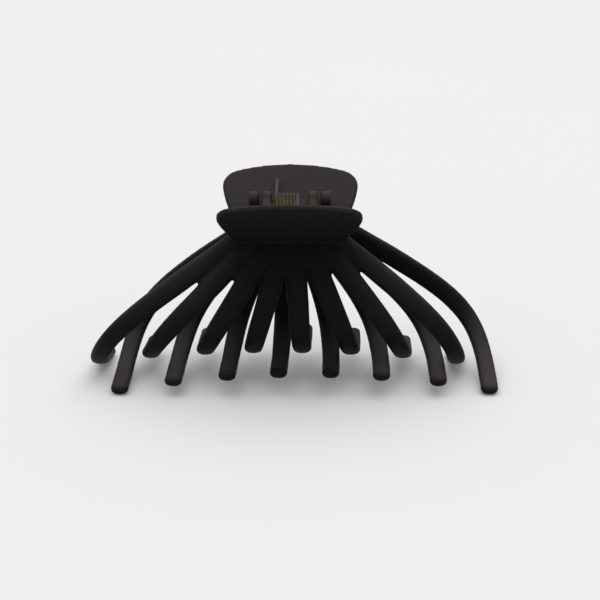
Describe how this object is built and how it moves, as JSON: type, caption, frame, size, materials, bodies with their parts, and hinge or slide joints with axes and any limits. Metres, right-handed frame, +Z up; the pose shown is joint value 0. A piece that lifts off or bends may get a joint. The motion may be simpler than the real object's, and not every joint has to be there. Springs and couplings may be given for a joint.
{
  "type": "hair claw clip",
  "caption": "Large sprung octopus-style hair claw clip: two moulded jaws with thumb paddles and long curved interleaving teeth on a pinned hinge.",
  "frame": {"origin": "on the floor under the middle of the two fans of teeth, with the closed clip standing on its tooth tips", "axes": "+X along the hinge pin and the clip's length, +Y towards the rear jaw, +Z up through the hinge"},
  "size_m": [0.1062, 0.0498, 0.0519],
  "materials": {
    "black_plastic": "matt, soft-touch black",
    "pin_metal": "satin",
    "spring_metal": "satin, darkened"
  },
  "bodies": {
    "rear_body": {"rear_jaw": "black_plastic", "hinge_pin": "pin_metal", "torsion_spring": "spring_metal"},
    "front_body": {"front_jaw": "black_plastic"}
  },
  "joints": [
    {"name": "jaw_hinge", "type": "hinge", "parent": "rear_body", "child": "front_body", "pos_m": [-0.0005, 0, 0.04642], "axis": [-1, 0, 0], "range_deg": [0, 55], "stiffness_Nm_per_rad": 0.15, "springref_deg": -38.39, "deforming": ["torsion_spring"]}
  ]
}
